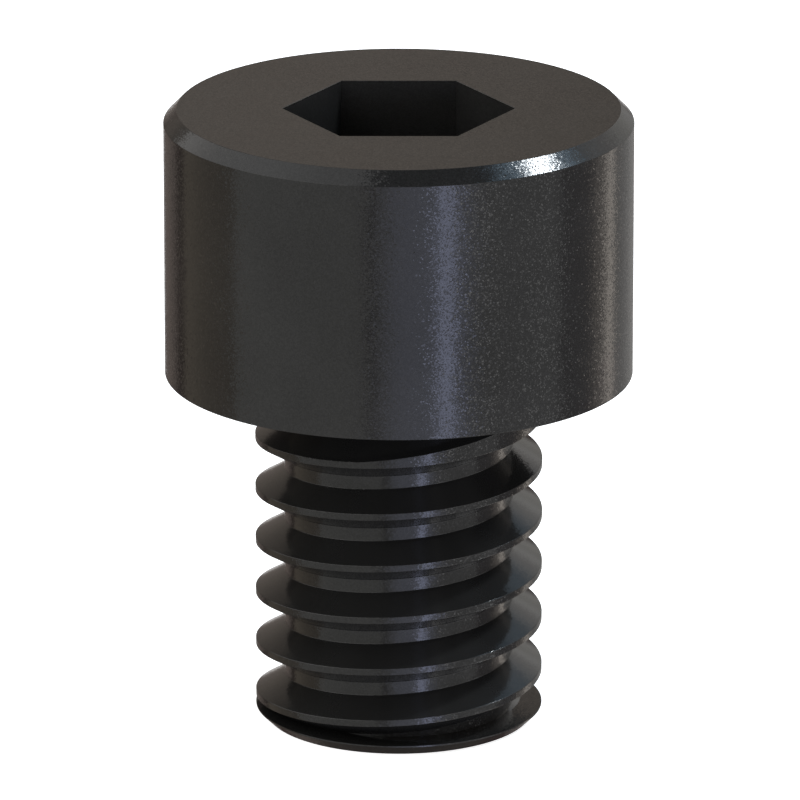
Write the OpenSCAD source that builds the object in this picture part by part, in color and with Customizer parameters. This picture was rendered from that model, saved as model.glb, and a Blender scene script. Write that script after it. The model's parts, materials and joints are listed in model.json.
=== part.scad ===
// Socket head screw with a short, fully threaded shank.
// All sizes are in millimetres. The screw stands on its flat tip: the tip is at z = 0 on the
// screw's axis, the head is on top and the hexagonal socket opens upwards.

/* [Head] */
// Diameter of the head
head_d = 13; // [11:0.1:15]
// Height of the head above its bearing face
head_h = 7.55; // [6.5:0.05:9]
// Width of the bevel round the head's top edge
head_bevel = 0.37; // [0.1:0.01:0.8]

/* [Socket] */
// Width of the hexagonal socket across its flats
socket_af = 5.55; // [4:0.05:6.5]
// Depth of the hexagon below the head's top face
socket_depth = 4.3; // [3:0.1:4.6]
// Point angle of the pilot hole that ends the socket
pilot_angle = 120; // [100:1:140]

/* [Shank] */
// Length of the shank from the bearing face to the tip
shank_len = 10; // [8:0.5:16]
// Radius of the fillet between the shank and the head
neck_fillet = 0.4; // [0.1:0.05:0.8]
// Width of the bevel round the tip
tip_bevel = 0.28; // [0.1:0.01:0.6]
// Height of the unthreaded ring at the tip
tip_ring = 0.32; // [0.1:0.01:0.8]

/* [Thread] */
// Outside diameter of the thread
thread_d = 8; // [7:0.05:9]
// Distance from one crest to the next
thread_pitch = 1.5; // [1.1:0.05:1.75]
// Angle between the two flanks of the groove
flank_angle = 60; // [50:1:65]
// Turn of the thread about the axis, seen from above
thread_turn = 210; // [0:1:359]
// Turn over which the groove runs out below the head
runout_turn = 100; // [60:5:180]

/* [Hidden] */
$fn = 144;

// Blank
head_r = head_d / 2;
thread_r = thread_d / 2;
tip_r = thread_r - tip_bevel;
screw_h = shank_len + head_h;
neck_z = shank_len - neck_fillet;

// Socket. A six-sided circle has its corners on the X axis and its flats towards Y.
cut_margin = 0.5;
hex_r = socket_af / 2 / cos(30);
hex_z = screw_h - socket_depth;
pilot_r = socket_af / 2;
pilot_h = pilot_r / tan(pilot_angle / 2);

// Groove of a 60 degree thread: crests an eighth and roots a quarter of the pitch wide, and
// five eighths of the height of the sharp triangle deep.
sharp_h = thread_pitch / 2 / tan(flank_angle / 2);
groove_depth = sharp_h * 5 / 8;
root_half = thread_pitch / 8;
root_r = thread_r - groove_depth;
groove_margin = thread_pitch / 16;
mouth_half = root_half + (groove_depth + groove_margin) * tan(flank_angle / 2);

// Rings of the groove, one every few degrees. It starts a turn below the tip and ends where
// its run-out has lifted it clear of the shank.
ring_step = 7.5;
groove_start = thread_turn - 360;
groove_end = thread_turn + 360 * neck_z / thread_pitch;
runout_start = groove_end - runout_turn;
ring_count = ceil((groove_end - groove_start) / ring_step);
ring_corners = 4;

function ring_angle(i) = groove_start + (groove_end - groove_start) * i / ring_count;
function groove_z(angle) = thread_pitch * (angle - thread_turn) / 360;
function runout_share(angle) = max(0, (angle - runout_start) / runout_turn);
function groove_lift(angle) = (groove_depth + groove_margin) * runout_share(angle);

// Corners of the groove's section at one angle, from the lower root corner round to the upper.
function groove_section(angle) =
    let (
        inner = root_r + groove_lift(angle),
        outer = thread_r + groove_margin + groove_lift(angle),
        z = groove_z(angle)
    )
    [
        [inner * cos(angle), inner * sin(angle), z - root_half],
        [outer * cos(angle), outer * sin(angle), z - mouth_half],
        [outer * cos(angle), outer * sin(angle), z + mouth_half],
        [inner * cos(angle), inner * sin(angle), z + root_half]
    ];

// The turned outline of the blank, from the axis at the tip to the axis at the top face.
module blank_outline() {
    polygon([
        [0, 0],
        [tip_r, 0],
        [thread_r, tip_bevel],
        [thread_r, shank_len],
        [head_r, shank_len],
        [head_r, screw_h - head_bevel],
        [head_r - head_bevel, screw_h],
        [0, screw_h]
    ]);
    translate([thread_r, neck_z])
        difference() {
            square(neck_fillet);
            translate([neck_fillet, 0])
                circle(r = neck_fillet);
        }
}

// The helical space between the threads, as one long sweep of the groove's section.
module groove_sweep() {
    points = [
        for (i = [0:ring_count])
            each groove_section(ring_angle(i))
    ];
    sides = [
        for (i = [0:ring_count - 1], k = [0:ring_corners - 1])
            let (
                a = i * ring_corners + k,
                b = i * ring_corners + (k + 1) % ring_corners,
                c = b + ring_corners,
                d = a + ring_corners
            )
            each [[a, b, c], [a, c, d]]
    ];
    first_cap = [3, 2, 1, 0];
    last_cap = [for (k = [0:ring_corners - 1]) ring_count * ring_corners + k];
    polyhedron(points = points, faces = concat(sides, [first_cap, last_cap]));
}

// The groove, kept between the ring at the tip and the fillet at the neck.
module thread_groove() {
    intersection() {
        groove_sweep();
        translate([0, 0, tip_ring])
            cylinder(r = head_r, h = neck_z - tip_ring);
    }
}

// The hexagonal socket and the conical end of the pilot hole under it.
module socket() {
    translate([0, 0, hex_z])
        cylinder(r = hex_r, h = socket_depth + cut_margin, $fn = 6);
    translate([0, 0, hex_z - pilot_h])
        cylinder(r1 = 0, r2 = pilot_r, h = pilot_h);
}

module screw() {
    color([0.17, 0.17, 0.18])
        difference() {
            rotate_extrude()
                blank_outline();
            thread_groove();
            socket();
        }
}

screw();
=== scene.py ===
# %% [markdown]
# # A socket head screw in black oxide
# This lesson dresses one small machine part for a product picture: a short screw with a round
# head, a hexagonal socket and a coarse thread. It is one piece of steel, so there is one mesh to
# build and one finish to design. What makes it look real is therefore all in three places: the
# true form of the thread, the thin black skin on the steel, and what that skin reflects.
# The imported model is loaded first. It fixes the place and the size of everything below.

# %% Load the frame
import json
import math

import bmesh
import bpy
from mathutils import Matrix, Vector


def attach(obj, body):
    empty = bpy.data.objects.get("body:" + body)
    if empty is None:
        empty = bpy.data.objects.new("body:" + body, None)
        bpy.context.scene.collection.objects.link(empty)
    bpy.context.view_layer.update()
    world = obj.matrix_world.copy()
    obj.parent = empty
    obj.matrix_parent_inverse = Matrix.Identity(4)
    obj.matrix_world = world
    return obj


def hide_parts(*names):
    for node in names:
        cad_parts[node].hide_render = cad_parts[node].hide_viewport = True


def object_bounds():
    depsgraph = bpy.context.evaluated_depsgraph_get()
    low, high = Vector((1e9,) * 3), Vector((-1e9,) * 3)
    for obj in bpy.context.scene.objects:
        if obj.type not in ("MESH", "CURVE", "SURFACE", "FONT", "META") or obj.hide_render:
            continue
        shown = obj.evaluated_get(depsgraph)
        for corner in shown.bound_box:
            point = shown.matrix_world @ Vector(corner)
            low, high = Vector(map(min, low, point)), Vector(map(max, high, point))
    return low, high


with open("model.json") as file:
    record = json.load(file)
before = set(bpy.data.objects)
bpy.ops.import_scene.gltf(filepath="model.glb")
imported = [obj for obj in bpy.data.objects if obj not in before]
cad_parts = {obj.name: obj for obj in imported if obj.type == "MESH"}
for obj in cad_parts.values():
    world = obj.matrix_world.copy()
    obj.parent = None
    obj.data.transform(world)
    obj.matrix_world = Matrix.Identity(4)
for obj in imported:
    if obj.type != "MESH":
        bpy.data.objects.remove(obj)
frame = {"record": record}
cad_low, cad_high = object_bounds()
print("the model's box in mm:", [round(1000 * side, 3) for side in cad_high - cad_low])

# %% [markdown]
# ## Sizes
# A maker reads a screw from its drawing: head diameter, thread diameter, length, pitch. The frame
# already holds most of those, in its box and in its mounts, so they are read from there and not
# written again. The rest of the drawing, such as bevels, is given in millimetres and turned to
# metres, because the scene is in metres like the frame.

# %% Sizes of the screw
MM = 0.001
mounts = {mount["name"]: mount for mount in frame["record"]["mounts"]}

screw_top = cad_high.z
head_radius = mounts["head_side"]["dims"]["r_mm"] * MM
bearing_z = mounts["under_head"]["pos_m"][2]
thread_radius = mounts["thread"]["dims"]["r_mm"] * MM
socket_apothem = mounts["hex_socket"]["dims"]["r_mm"] * MM
socket_depth = mounts["hex_socket"]["dims"]["length_mm"] * MM

head_bevel = 0.37 * MM
tip_bevel = 0.28 * MM
tip_ring = 0.32 * MM
neck_fillet = 0.4 * MM
pitch = 1.5 * MM
flank_angle = math.radians(60)
pilot_angle = math.radians(120)
thread_turn = 210.0
runout_turn = 100.0
neck_z = bearing_z - neck_fillet
print("head", head_radius / MM, "thread", thread_radius / MM, "socket", socket_apothem / MM)

# %% [markdown]
# ## The section of the thread
# A rolled thread has flat crests, straight flanks 60 degrees apart and a flat root. In a plane
# through the axis its groove is a trapezium, and every turn lifts it by one pitch. Tools and
# rollers never leave a perfectly sharp edge, so each of its four corners gets a tiny round.
# The section could be drawn as a curve and swept along a helix. Here it is a list of heights and
# depths, measured from the groove's own middle, because numbers can be set against the drawing.
# Where the thread runs out below the head, the same section is drawn outwards until it leaves the
# steel.

# %% Groove section
sharp_height = pitch / 2 / math.tan(flank_angle / 2)
groove_depth = sharp_height * 5 / 8
groove_margin = pitch / 16
root_half = pitch / 8
flank_slope = math.tan(flank_angle / 2)
corner_round = 0.015 * MM
corner_steps = 3


def corner_arc(turn_in, turn_out):
    """Steps round one corner, from where the first edge is left to where the next is met."""
    points = []
    for step in range(corner_steps + 1):
        share = step / corner_steps
        points.append(((1 - share) ** 2 * turn_in[0] + share ** 2 * turn_out[0],
                       (1 - share) ** 2 * turn_in[1] + share ** 2 * turn_out[1]))
    return points


def groove_points(depth):
    """(height, depth) of the groove's outline from its lower crest edge to its upper one."""
    depth = max(depth, 0.0)
    mouth_half = root_half + depth * flank_slope
    # Where the groove is shallow, its rounds shrink with it.
    cut = min(corner_round, depth / 3)
    run = (cut * math.sin(flank_angle / 2), cut * math.cos(flank_angle / 2))
    crest = [(-mouth_half + dz, dd) for dz, dd in corner_arc((-cut, 0), run)]
    root = [(-root_half + dz, depth + dd) for dz, dd in corner_arc((-run[0], -run[1]), (cut, 0))]
    flank_middle = ((crest[-1][0] + root[0][0]) / 2, (crest[-1][1] + root[0][1]) / 2)
    lower = crest + [flank_middle] + root
    upper = [(-height, deep) for height, deep in reversed(lower)]
    return lower + [(0.0, depth)] + upper


print("groove", round(groove_depth / MM, 3), "mm deep,", len(groove_points(groove_depth)), "points")

# %% [markdown]
# ## One column of the shank
# The groove could be cut by a boolean, as a lathe cuts it, but that leaves long thin triangles that
# shade badly under a glossy finish. A thread allows something better: a line drawn straight out
# from the axis, at any height, leaves the steel at one place only. So the whole surface can be
# laid out in columns, one for each small turn about the axis, each running from the tip to the
# bottom of the socket. In a column, the grooves sit a little higher than in the one before, and
# after a full turn they have climbed one pitch and meet the first column again. Where a groove
# reaches past the ring at the tip or past the neck, its points are held at that height, at the
# radius that the section has there.

# %% Thread in one column
groove_end = thread_turn + 360 * neck_z / pitch
runout_start = groove_end - runout_turn
groove_turns = range(-1, math.ceil(groove_end / 360) + 1)


def groove_at(angle):
    """Middle height and depth of the groove at an angle counted on over the turns."""
    lift = (groove_depth + groove_margin) * max(0.0, (angle - runout_start) / runout_turn)
    return pitch * (angle - thread_turn) / 360, max(groove_depth - lift, 0.0)


def thread_column(degrees):
    """(radius, z) points of the threaded shank at one angle, from the tip ring to the neck."""
    outline = []
    for turn in groove_turns:
        middle, depth = groove_at(degrees + 360 * turn)
        outline += [(middle + height, thread_radius - deep) for height, deep in groove_points(depth)]
        outline.append((middle + pitch / 2, thread_radius))
    held = []
    for z, radius in outline:
        level = min(max(z, tip_ring), neck_z)
        if level != z:
            radius = radius_at(outline, level)
        held.append((radius, level))
    return held


def radius_at(outline, level):
    """Radius of the outline where it crosses one height."""
    for (z0, r0), (z1, r1) in zip(outline, outline[1:]):
        if z0 <= level <= z1 and z1 > z0:
            return r0 + (r1 - r0) * (level - z0) / (z1 - z0)
    return thread_radius


print("points in a column of thread:", len(thread_column(0.0)))

# %% [markdown]
# ## The turned outline
# Everything else on the outside is turned on a lathe: the flat tip with its bevel, the fillet at
# the neck, the bearing face under the head, the plain head and the bevel round its top. Real edges
# are never sharp: each is broken by a hundredth of a millimetre or two. That thin round is what
# draws the fine line of light along an edge, so every corner of the outline gets one. A bevel
# modifier could add it to the finished mesh, but it stumbles where a groove fades out to nothing.
# In the outline it costs only a few points more.

# %% Broken edges
edge_round = 0.02 * MM
edge_steps = 3


def broken(corners, radius):
    """A line through the corners, with each inner corner rounded."""
    line = [corners[0]]
    for before, corner, after in zip(corners, corners[1:], corners[2:]):
        here = Vector(corner)
        to_before = (Vector(before) - here).normalized()
        to_after = (Vector(after) - here).normalized()
        half_angle = to_before.angle(to_after) / 2
        reach = radius / math.tan(half_angle)
        centre = here + (to_before + to_after).normalized() * radius / math.sin(half_angle)
        start = here + to_before * reach - centre
        end = here + to_after * reach - centre
        turn = start.angle_signed(end)
        for step in range(edge_steps + 1):
            angle = -turn * step / edge_steps
            line.append((centre.x + start.x * math.cos(angle) - start.y * math.sin(angle),
                         centre.y + start.x * math.sin(angle) + start.y * math.cos(angle)))
    line.append(corners[-1])
    return line


print("edges broken by", edge_round / MM, "mm")

# %% The turned outline
tip_outline = broken([(0.0, 0.0), (thread_radius - tip_bevel, 0.0), (thread_radius, tip_bevel),
                      (thread_radius, tip_ring)], edge_round)
fillet_steps = 18
fillet_outline = []
for step in range(fillet_steps + 1):
    angle = math.pi / 2 * step / fillet_steps
    fillet_outline.append((thread_radius + neck_fillet * (1 - math.cos(angle)),
                           neck_z + neck_fillet * math.sin(angle)))
rim_radius = head_radius - head_bevel
corner_clearance = 1 * MM
flat_end = (rim_radius + socket_apothem) / 2 + corner_clearance
head_outline = broken([fillet_outline[-1], (head_radius, bearing_z),
                       (head_radius, screw_top - head_bevel), (rim_radius, screw_top),
                       (flat_end, screw_top)], edge_round)[1:]
print("outline points:", len(tip_outline), len(fillet_outline), len(head_outline))

# %% [markdown]
# ## The socket
# The hexagon is pressed into the head by a punch, so its walls are flat and upright, its corners
# are sharp, and under it the end of a drilled pilot hole leaves a shallow cone. It could be cut
# out with a six-sided prism, but in a column it is only another stretch of the outline, with one
# difference: the radius depends on the angle, because the distance from the axis to a flat wall
# grows towards the hexagon's corners. The rest of the flat top, from the end of the outline to the
# mouth of the socket, closes by itself when the two stretches are joined.

# %% Socket in one column
mouth_round = 0.02 * MM
socket_floor = screw_top - socket_depth
cone_depth = socket_apothem / math.tan(pilot_angle / 2)
cone_steps = 4


def socket_column(degrees):
    """(radius, z) points of the socket at one angle, from its mouth to the tip of its cone."""
    off_flat = math.radians((degrees % 60) - 30)
    points = []
    for step in range(edge_steps + 1):
        angle = math.pi / 2 * step / edge_steps
        apothem = socket_apothem + mouth_round * (1 - math.sin(angle))
        height = screw_top - mouth_round * (1 - math.cos(angle))
        points.append((apothem / math.cos(off_flat), height))
    points.append((socket_apothem / math.cos(off_flat), socket_floor))
    for step in range(cone_steps + 1):
        share = 1 - step / cone_steps
        points.append((socket_apothem * share, socket_floor - cone_depth * (1 - share)))
    return points


print("socket", round(socket_depth / MM, 2), "mm deep, cone", round(cone_depth / MM, 2), "mm more")

# %% [markdown]
# ## Weave the columns into a mesh
# Neighbouring columns hold the same number of points, so the mesh is a plain woven grid of quads.
# Many of those quads have no size, where points were held at the tip ring or the neck, or where a
# column ends on the axis. Merging points that lie on each other removes them and closes the seam
# between the last column and the first, which leaves one watertight skin.

# %% Weave the mesh
columns = 360
same_point = 0.0005 * MM


def screw_column(degrees):
    """All (radius, z) points of the screw at one angle."""
    return (tip_outline + thread_column(degrees) + fillet_outline + head_outline
            + socket_column(degrees))


def woven_mesh(name):
    """A closed mesh of the screw, woven from its columns."""
    mesh = bmesh.new()
    woven = []
    for column in range(columns + 1):
        degrees = 360 * column / columns
        turn = math.radians(degrees)
        woven.append([mesh.verts.new((radius * math.cos(turn), radius * math.sin(turn), z))
                      for radius, z in screw_column(degrees)])
    for left, right in zip(woven, woven[1:]):
        for low, high, high_next, low_next in zip(left, left[1:], right[1:], right):
            mesh.faces.new((low, low_next, high_next, high))
    bmesh.ops.remove_doubles(mesh, verts=mesh.verts, dist=same_point)
    bmesh.ops.dissolve_degenerate(mesh, edges=mesh.edges, dist=same_point)
    bmesh.ops.recalc_face_normals(mesh, faces=mesh.faces)
    open_edges = sum(1 for edge in mesh.edges if not edge.is_manifold)
    volume = mesh.calc_volume()
    data = bpy.data.meshes.new(name)
    mesh.to_mesh(data)
    mesh.free()
    print("faces", len(data.polygons), "open edges", open_edges, "mm3", round(volume / MM ** 3, 1))
    return data


print("points in a column:", len(screw_column(0.0)))

# %% Build the screw
screw_mesh = woven_mesh("dressed_screw")
screw = bpy.data.objects.new("dressed_screw", screw_mesh)
bpy.context.scene.collection.objects.link(screw)
screw_mesh.calc_loop_triangles()
print("triangles:", len(screw_mesh.loop_triangles))

# %% [markdown]
# ## Smooth faces and crisp edges
# The turned faces have to shade as true cones and cylinders, while flats stay flat right up to
# their edges. Smooth shading alone would bend the light near every edge, and under a glossy
# finish even a degree of that shows. The columns are one degree apart and the steps of the fillet
# five, while the first facet of a broken edge turns at least seven away from the face beside it.
# So a limit of six degrees keeps every round face smooth and every flat face flat, and each broken
# edge becomes a fan of narrow facets.

# %% Shading of the mesh
sharp_turn = math.radians(6)
screw_mesh.polygons.foreach_set("use_smooth", [True] * len(screw_mesh.polygons))
screw_mesh.set_sharp_from_angle(angle=sharp_turn)
print("sharp edges:", sum(1 for edge in screw_mesh.edges if edge.use_edge_sharp))

# %% [markdown]
# ## Wires: shader maths written as Python
# A finish is a small calculation that runs at every point of the surface. Blender draws it as
# boxes joined by wires. The class below wraps one such wire, so that sums and products of masks
# can be written as they would be on paper. Anything else, such as a noise or a vector sum, comes
# from its one method node(), which takes the node's type, its settings and what goes into it.

# %% The wire class
class Wire:
    """One output socket of a node tree, with arithmetic."""

    def __init__(self, tree, socket=None):
        self.tree = tree
        self.socket = socket

    def node(self, kind, settings=None, inputs=None, output=0):
        """Adds a node: its settings first, then its inputs, as values or as wires."""
        made = self.tree.nodes.new(kind)
        for name, value in (settings or {}).items():
            setattr(made, name, value)
        for name, value in (inputs or {}).items():
            if isinstance(value, Wire):
                self.tree.links.new(value.socket, made.inputs[name])
            else:
                made.inputs[name].default_value = value
        return Wire(self.tree, made.outputs[output] if made.outputs else None)

    def out(self, name):
        """Another output of the same node."""
        return Wire(self.tree, self.socket.node.outputs[name])

    def math(self, operation, first, second=0.0):
        """A Math node on two values."""
        return self.node("ShaderNodeMath", {"operation": operation}, {0: first, 1: second})

    def __add__(self, other):
        return self.math("ADD", self, other)

    def __sub__(self, other):
        return self.math("SUBTRACT", self, other)

    def __rsub__(self, other):
        return self.math("SUBTRACT", other, self)

    def __mul__(self, other):
        return self.math("MULTIPLY", self, other)

    def __pow__(self, other):
        return self.math("POWER", self, other)

    __radd__ = __add__
    __rmul__ = __mul__

    def rise(self, start, end):
        """0 at start, 1 at end, smooth between them, and held beyond. Either may be the larger."""
        return self.node("ShaderNodeMapRange", {"interpolation_type": "SMOOTHSTEP"},
                         {"Value": self, "From Min": start, "From Max": end})

    def vector(self, operation, inputs):
        """A Vector Math node on vectors or colours."""
        return self.node("ShaderNodeVectorMath", {"operation": operation}, inputs)

    def mix(self, first, second):
        """A colour between two, by this wire's value."""
        return self.node("ShaderNodeMix", {"data_type": "RGBA"}, {0: self, 6: first, 7: second}, 2)


print("wires ready")

# %% [markdown]
# ## Black oxide
# Black oxide is no paint. Hot salts turn the outermost micrometre of the steel into black iron
# oxide, and a film of oil is left on it. So it keeps every tool mark, it mirrors its surroundings
# at a few hundredths of their brightness, and it turns brighter where the eye grazes it. A very
# dark colour with a third of metal in it does that in the shader, without any coat on top.
# The skin is made of tiny crystals, and each leans its own way. Here they are the cells of a
# Voronoi texture: each cell's random colour, less one half, is read as the way it leans. Its luck,
# one more random number, says how far. All of them lean by about a degree, which gives reflections
# a grainy edge. The lucky ones lean much further, and sparkle where they catch a lamp.

# %% Grain of the skin
crystal_size = 0.034 * MM
small_lean = 0.04
large_lean = 0.48
lean_rarity = 2.5


def crystals(start, place):
    """The way each crystal leans, and its luck between 0 and 1."""
    colour = start.node("ShaderNodeTexVoronoi", {"feature": "F1"},
                        {"Vector": place, "Scale": 1 / crystal_size}, "Color")
    luck = start.node("ShaderNodeTexWhiteNoise", {"noise_dimensions": "3D"}, {"Vector": colour}, "Value")
    return start.vector("SUBTRACT", {0: colour, 1: (0.5, 0.5, 0.5)}), luck


print("crystals of", round(crystal_size / MM, 3), "mm")

# %% [markdown]
# ## Where the skin is rough and where it is smooth
# The die that forms the head drags along its side and its bevel, and scuffs them up and down. The
# flat top is pressed, and the flanks of the thread are rolled, so both stay smoother. How flat a
# face lies tells them apart: the upright part of its normal is 0 on the sides, 0.71 on the bevels,
# 0.87 on the flanks and 1 on the flats. Two more places are upright but were never dragged along
# a die: the walls of the socket, which a punch pressed and nothing ever rubs bright, and the roots
# of the thread, which are rolled. Both are found by their distance from the axis and their height.
# The masks could be painted by hand, but a rule that follows the form fits it everywhere.

# %% Masks by place
mask_edge = 0.05 * MM
# The roots are the deepest fifth of the groove, and their mask fades out over the next fifth.
root_edges = (thread_radius - 0.8 * groove_depth, thread_radius - 0.6 * groove_depth)


def measured(start, place):
    """Distance from the axis and height of the shaded point."""
    sideways = start.vector("MULTIPLY", {0: place, 1: (1.0, 1.0, 0.0)})
    from_axis = start.node("ShaderNodeVectorMath", {"operation": "LENGTH"}, {0: sideways}, "Value")
    return from_axis, start.node("ShaderNodeSeparateXYZ", None, {0: place}, "Z")


def socket_mask(from_axis, height):
    """1 on the walls and the floor of the socket."""
    corner_radius = socket_apothem / math.cos(math.pi / 6)
    near = 1 - from_axis.rise(corner_radius, corner_radius + mask_edge)
    above = height.rise(bearing_z, bearing_z + mask_edge)
    below = 1 - height.rise(screw_top - mask_edge, screw_top - mouth_round)
    return near * above * below


def root_mask(from_axis, height):
    """1 on the roots of the thread."""
    deep = 1 - from_axis.rise(*root_edges)
    return deep * (1 - height.rise(neck_z, bearing_z))


print("roots within", [round(radius / MM, 2) for radius in root_edges], "mm of the axis")

# %% Masks by flatness
bevel_most = 0.72
flank_least = 0.84
flank_most = 0.88
flat_least = 0.98
flatness_edge = 0.04
scuffing_loss = 0.6


def scuffed_mask(flatness):
    """1 on upright faces, less on the bevels, 0 on the flanks and the flats."""
    return (1 - flatness.rise(bevel_most, flank_least)) * (1 - scuffing_loss * flatness)


def flank_mask(flatness):
    """1 on the flanks of the thread."""
    above = flatness.rise(flank_least - flatness_edge, flank_least)
    return above * (1 - flatness.rise(flank_most, flank_most + flatness_edge))


def flat_mask(flatness):
    """1 on the flats."""
    return flatness.rise(flank_most + flatness_edge, flat_least)


print("flanks from", flank_least, "to", flank_most, "and flats from", flat_least)

# %% [markdown]
# ## The finish in one material
# The masks now steer three things. The normal is tipped by every crystal a little, twice as much on
# the pressed flats, and by the lucky ones far, mostly up and down, the way the die scuffed them.
# The colour wavers between two blacks, with wide clouds from the salt bath and, except on the
# flanks, with the grain. The gloss wavers with the clouds and is lower in the socket. A picture
# wrapped round the screw could hold all this too, but it would stretch on the thread and blur up
# close, and a calculation does neither.

# %% Black oxide finish
cloud_size = 2.5 * MM
cloud_edges = (0.3, 0.7)
cloud_share = 0.3
middle_value = 0.5
oxide_dark = (0.0170, 0.0168, 0.0165, 1.0)
oxide_light = (0.0340, 0.0337, 0.0333, 1.0)
die_direction = (0.4, 0.4, 1.0)
root_smoothing = 0.5
skin_roughness = 0.14
skin_unevenness = 0.03
socket_dullness = 0.3
metal_share = 0.35


def black_oxide():
    """The skin of the whole screw."""
    material = bpy.data.materials.new("black_oxide")
    material.use_nodes = True
    material.node_tree.nodes.clear()
    start = Wire(material.node_tree)
    place = start.node("ShaderNodeTexCoord", output="Object")
    facing = start.node("ShaderNodeNewGeometry", output="Normal")
    flatness = start.math("ABSOLUTE", start.node("ShaderNodeSeparateXYZ", None, {0: facing}, "Z"))
    from_axis, height = measured(start, place)
    in_socket = socket_mask(from_axis, height)

    lean, luck = crystals(start, place)
    out_of_root = 1 - root_smoothing * root_mask(from_axis, height)
    scuffed = scuffed_mask(flatness) * (1 - in_socket) * out_of_root
    reach = large_lean * scuffed * luck ** lean_rarity
    tipped = start.vector("MULTIPLY", {0: lean, 1: die_direction})
    far = start.vector("SCALE", {0: tipped, "Scale": reach})
    slightly = start.vector("SCALE", {0: lean, "Scale": small_lean * (1 + flat_mask(flatness))})
    leaning = start.vector("ADD", {0: slightly, 1: far})
    normal = start.vector("NORMALIZE", {0: start.vector("ADD", {0: facing, 1: leaning})})

    clouds = start.node("ShaderNodeTexNoise", {"noise_dimensions": "3D"},
                        {"Vector": place, "Scale": 1 / cloud_size, "Detail": 3.0})
    shade = clouds.rise(*cloud_edges)
    grain = middle_value + (luck - middle_value) * (1 - flank_mask(flatness))
    tone = (cloud_share * shade + (1 - cloud_share) * grain).mix(oxide_dark, oxide_light)
    rough = skin_roughness + skin_unevenness * (shade - middle_value) + socket_dullness * in_socket

    skin = start.node("ShaderNodeBsdfPrincipled", None, {
        "Base Color": tone, "Metallic": metal_share, "Roughness": rough, "Normal": normal})
    start.node("ShaderNodeOutputMaterial", None, {"Surface": skin})
    return material


screw.data.materials.append(black_oxide())
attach(screw, "root")
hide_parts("screw")
print("finish on", screw.name)

# %% [markdown]
# ## The table
# The part stands on a plain white sheet. It glows a little of its own, so that it shows as clean
# paper and only the faintest shade stays where the tip touches it. A white sheet would also light
# every face that looks down, and a black part would turn grey. Photographers lay black card round
# its foot against that. Here the sheet is simply hidden from every ray but the camera's.

# %% Floor
floor_half = 1.2
sheet_glow = 0.86

floor_mesh = bpy.data.meshes.new("table")
floor_mesh.from_pydata([(-floor_half, -floor_half, 0), (floor_half, -floor_half, 0),
                        (floor_half, floor_half, 0), (-floor_half, floor_half, 0)], [], [(0, 1, 2, 3)])
floor = bpy.data.objects.new("table", floor_mesh)
bpy.context.scene.collection.objects.link(floor)
for ray in ("diffuse", "glossy", "transmission", "volume_scatter", "shadow"):
    setattr(floor, "visible_" + ray, False)


def white_sheet():
    """Matt white, with a glow of its own that lifts it to clean white."""
    material = bpy.data.materials.new("white_sheet")
    material.use_nodes = True
    material.node_tree.nodes.clear()
    start = Wire(material.node_tree)
    sheet = start.node("ShaderNodeBsdfPrincipled", None, {
        "Base Color": (0.9, 0.9, 0.9, 1.0), "Roughness": 0.9, "Specular IOR Level": 0.0,
        "Emission Color": (1.0, 1.0, 1.0, 1.0), "Emission Strength": sheet_glow})
    start.node("ShaderNodeOutputMaterial", None, {"Surface": sheet})
    return material


floor.data.materials.append(white_sheet())
print("table ready")

# %% [markdown]
# ## The studio
# A black glossy part shows hardly anything but reflections, so its lighting is a matter of what
# stands around it. Lamps would leave small hard spots on it. Large soft cards give broad smooth
# bands instead, with an edge that shows how round the part is. The cards are painted straight into
# the world, which costs no geometry: each covers a range of azimuth, counted in degrees to the
# right from the camera's side, and a range of elevation above the horizon.

# %% A card of light
world = bpy.data.worlds.new("studio")
bpy.context.scene.world = world
world.use_nodes = True
world.node_tree.nodes.clear()
studio = Wire(world.node_tree)
direction = studio.node("ShaderNodeTexCoord", output="Generated")
east = studio.node("ShaderNodeSeparateXYZ", None, {0: direction}, "X")
north = east.out("Y")
up = east.out("Z")
degree = math.degrees(1.0)
azimuth = studio.math("ARCTAN2", east, 0 - north) * degree
elevation = studio.math("ARCSINE", up) * degree

neutral = (1.0, 1.0, 1.0)
cool = (0.97, 1.0, 0.98)
warm = (1.0, 0.92, 0.83)
bluish = (0.74, 0.82, 1.20)
sky_blue = (0.60, 0.86, 1.11)


def within(angle, start, end, edge):
    """1 between two angles and 0 outside, with edges that are soft over so many degrees."""
    off_middle = studio.math("ABSOLUTE", angle - (start + end) / 2)
    half = (end - start) / 2
    return off_middle.rise(half + edge, half - edge)


def card(left, right, low, high, edge, colour, strength):
    """Light from one patch of the studio: its sides and its soft edge in degrees, then its light."""
    inside = within(azimuth, left, right, edge) * within(elevation, low, high, edge)
    return studio.vector("SCALE", {0: colour, "Scale": inside * strength})


def band(low, high, edge, colour):
    """Light from all round the studio."""
    return studio.vector("SCALE", {0: colour, "Scale": within(elevation, low, high, edge)})


print("cards can be placed")

# %% [markdown]
# ## The room
# The room is dim and warm. Its walls are a little brighter than the rest, because the flat top of
# the head mirrors them and gets its even brown grey from them. Left of the middle behind, some
# extra light lies on them. The ceiling, the foot of the walls and the floor are darker still, which
# keeps the flanks of the thread nearly black where no card reaches. Straight behind the part the
# azimuth jumps from -180 to 180, so what stands across that line is written once for each side.

# %% The room
wall_colour = (0.200, 0.173, 0.148)
extra_wall_light = (0.080, 0.068, 0.060)
ceiling_colour = (0.055, 0.055, 0.055)
low_wall_colour = (0.06, 0.04, 0.035)
room_floor_colour = (0.12, 0.10, 0.085)
room = [
    band(5, 36, 5, wall_colour),
    card(-185, -148, 5, 36, 5, extra_wall_light, 1.0),
    card(179.2, 190, 5, 36, 0.3, extra_wall_light, 1.0),
    band(36, 100, 6, ceiling_colour),
    band(-50, 5, 5, low_wall_colour),
    band(-100, -50, 5, room_floor_colour),
]
print("parts of the room:", len(room))

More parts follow.
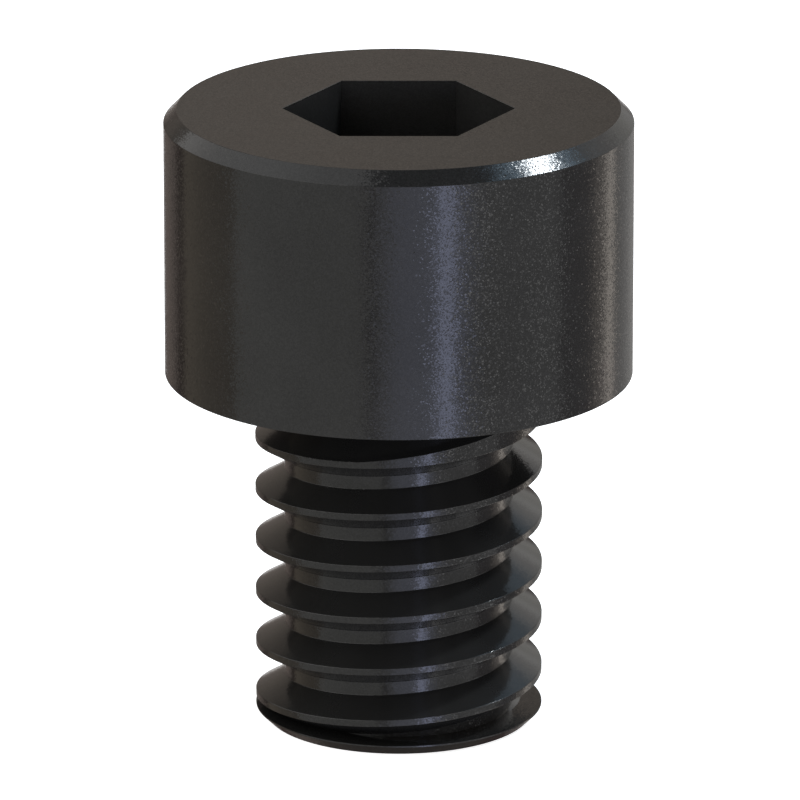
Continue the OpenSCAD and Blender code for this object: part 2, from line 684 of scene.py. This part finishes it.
# %% [markdown]
# ## Low cards for the upright side
# The camera looks down a little, so the upright side of the head mirrors what stands below the
# horizon. On a cylinder the mirror turns twice as fast as the surface, so cards from far behind on
# the left, round the front, to far behind on the right lie side by side across its width: two
# broad sheets with a narrow gap between them a little left of the middle, a bluish glow with a
# bright narrow strip in it, a darker stretch, and a warm strip near the right edge. Straight behind
# the part stands a plain card, so that its far side isn't lost in black, and high above that card
# hangs another, for the flat top when it is seen from above. A weak warm card low on the left
# behind is there for the flanks of the thread, which catch it where they turn out of sight.

# %% Low sheets
faint_brown = (0.16, 0.14, 0.125)
brownish = (0.50, 0.44, 0.34)
pale_green = (0.97, 1.0, 0.96)
left_sheets = [
    card(-164, -140, -50, 0, 3, faint_brown, 1.0),  # at the left edge of the head
    card(-131, -88, -60, 0, 3, brownish, 0.62),  # next to it
    card(-88, -15, -60, 45, 1, pale_green, 0.63),  # broad, up to the gap
]
right_sheets = [
    card(-12, 86, -60, 10, 1, cool, 0.51),  # broad, from the gap on
    card(86, 108, -60, 20, 3, neutral, 0.18),  # the darker stretch
    card(110, 122, -60, 10, 4, warm, 0.52),  # beside the warm strip
    card(133, 168, -34, 20, 3, cool, 0.33),  # at the right edge of the head
]
print("low sheets:", len(left_sheets + right_sheets))

# %% Strips and the far side
glow_blue = (0.70, 0.80, 1.25)
strips = [
    card(-6, 35, -50, 10, 8, glow_blue, 0.50),  # the bluish glow
    card(20, 26.5, -45, 8, 3, bluish, 3.1),  # the bright strip in it
    card(122.6, 131.2, -55, 5, 3, warm, 1.72),  # the warm strip
]
behind = [
    card(-182, -162, -12, 5, 3, warm, 0.16),  # for the flanks that turn out of sight
    card(-195, -169, -25, -8, 3, neutral, 0.65),  # straight behind, its left half
    card(171, 195, -25, -8, 3, neutral, 0.65),  # and its right half
    card(-200, -160, 46, 66, 5, neutral, 0.40),  # high behind, its left half
    card(160, 200, 46, 66, 5, neutral, 0.40),  # and its right half
]
print("strips:", len(strips), "and cards behind:", len(behind))

# %% [markdown]
# ## Bars for the sparkle
# A crystal that leans up or down mirrors a place above or below the one its neighbours mirror. Two
# long bars lie across the sheet on the right, one above and one below the height that the smooth
# side mirrors, so only the crystals that lean far catch them. That is where the sparkle on the
# right half of the head comes from, and on the left the skin looks even. A real head is never
# scuffed evenly, so each bar has three lengths of its own strength: the brightest towards the
# front, a weak one next to it, and one in between further right.

# %% Bars
bar_heights = within(elevation, -8, 13, 3) + within(elevation, -45, -26, 3)
bar_strength = (2.0 * within(azimuth, 37, 46, 4) + 0.5 * within(azimuth, 48, 62, 4)
                + 1.1 * within(azimuth, 66, 92, 4))
bars = [studio.vector("SCALE", {0: neutral, "Scale": bar_heights * bar_strength})]
print("two bars in three lengths")

# %% [markdown]
# ## High lights for the bevel and the flanks
# Faces that look upwards mirror what hangs above the horizon: the bevel round the head, and the
# upper flanks of the thread towards the right and left. A large softbox hangs up on the left and
# a smaller one behind on the right. Straight to the right, a blue panel has a very strong lamp near
# its middle. Their mirror image is the one hard highlight of the picture: a short white stretch on
# the bevel, with a blue rim.

# %% High lights
left_softbox = [
    card(-141.5, -28, 15, 35, 2, neutral, 0.93),  # its lower half
    card(-130, -28, 35, 82, 2, neutral, 0.88),  # its upper half
    card(-125, -68, 35, 62, 8, neutral, 0.22),  # a brighter patch in that
]
right_softbox = [
    card(118, 142, 15, 45, 5, neutral, 0.42),  # its near half
    card(146, 171, 17, 34, 5, neutral, 0.56),  # its far half
    card(126, 162, 32, 76, 8, sky_blue, 0.46),  # blue light above both
]
panel_blue = (0.55, 0.82, 1.08)
lamp_white = (0.95, 1.0, 1.03)
lamp = [
    card(77, 118, 35, 61, 5, panel_blue, 2.1),  # the panel
    card(96.0, 106.6, 43.8, 52.8, 1, lamp_white, 66.0),  # the lamp itself
]
print("high lights:", len(left_softbox + right_softbox + lamp))

# %% [markdown]
# ## Add the light up
# The room, the cards and the bars are added up into one light. The camera itself doesn't see them:
# for its own rays the world is a plain white wall, which runs into the white sheet without a seam.

# %% World
wall_glow = 1.05
cards = room + left_sheets + right_sheets + strips + behind + bars + left_softbox + right_softbox + lamp
light = cards[0]
for extra in cards[1:]:
    light = studio.vector("ADD", {0: light, 1: extra})

lit_room = studio.node("ShaderNodeBackground", None, {"Color": light, "Strength": 1.0})
white_wall = studio.node("ShaderNodeBackground", None, {"Color": (1.0, 1.0, 1.0, 1.0),
                                                        "Strength": wall_glow})
seen = studio.node("ShaderNodeLightPath", output="Is Camera Ray")
shown = studio.node("ShaderNodeMixShader", None, {0: seen, 1: lit_room, 2: white_wall})
studio.node("ShaderNodeOutputWorld", None, {"Surface": shown})
print("lights in the world:", len(cards))

# %% [markdown]
# ## The camera
# The picture was taken with a long lens from a little above, so the upright lines stay parallel
# and the round top closes to a flat ellipse. A long lens far away is the way to get that look.
# The camera looks along +Y at a point close to the axis, near the middle of the screw's height. The
# Standard view transform leaves the whites white, where a filmic one would turn the sheet grey.

# %% Camera
camera_rise = math.radians(17.42)
camera_distance = 0.3
lens_length = 485.6
aim_aside = 0.033 * MM
aim_height = 9.117 * MM
target = Vector((aim_aside, 0.0, aim_height))
camera_data = bpy.data.cameras.new("camera")
camera_data.sensor_width = 36.0
camera_data.lens = lens_length
camera_data.clip_start = 0.05
camera_data.clip_end = 5.0
camera = bpy.data.objects.new("camera", camera_data)
bpy.context.scene.collection.objects.link(camera)
back = Vector((0.0, -math.cos(camera_rise), math.sin(camera_rise)))
camera.location = target + back * camera_distance
camera.rotation_euler = (-back).to_track_quat("-Z", "Y").to_euler()
bpy.context.scene.camera = camera
bpy.context.scene.view_settings.view_transform = "Standard"
print("camera", round(camera_distance, 3), "m away,", round(math.degrees(camera_rise), 2), "degrees up")
